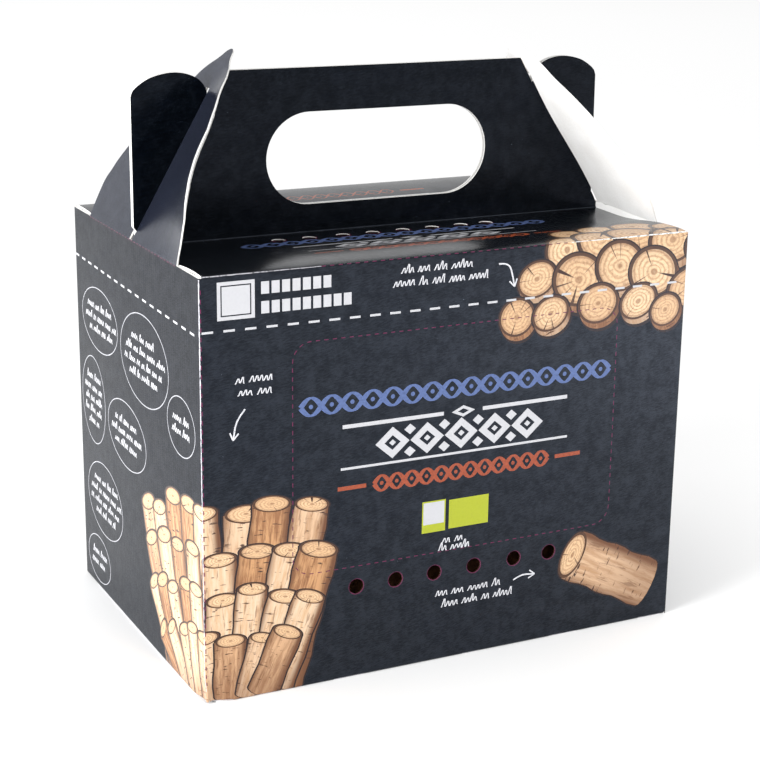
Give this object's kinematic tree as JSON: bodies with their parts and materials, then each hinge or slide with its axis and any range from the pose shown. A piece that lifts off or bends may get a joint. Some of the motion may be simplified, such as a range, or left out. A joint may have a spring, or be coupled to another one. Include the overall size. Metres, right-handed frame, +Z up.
{
  "type": "mushroom grow kit carton with a gable handle",
  "caption": "Closed carry carton of a mushroom grow kit: printed card box with a gable handle, hand hole, pointed side flaps that lock the handle, vent holes, and a bagged growing block inside.",
  "frame": {"origin": "middle of the carton's underside", "axes": "+Z up; -Y is the front, with the row of vent holes; +X is to the right of somebody who looks at the front"},
  "size_m": [0.22, 0.1542, 0.2492],
  "materials": {
    "printed_card": "satin",
    "printed_side_card": "satin",
    "plain_card": "matte",
    "block_bag": "satin"
  },
  "bodies": {
    "root": {"base_panel": "plain_card", "front_panel": "printed_card", "back_panel": "printed_card", "left_panel": "printed_side_card", "right_panel": "printed_side_card", "front_roof": "printed_card", "rear_roof": "printed_card", "front_handle": "printed_card", "rear_handle": "printed_card", "left_flap": "printed_side_card", "right_flap": "printed_side_card", "substrate_bag": "block_bag"}
  },
  "joints": []
}
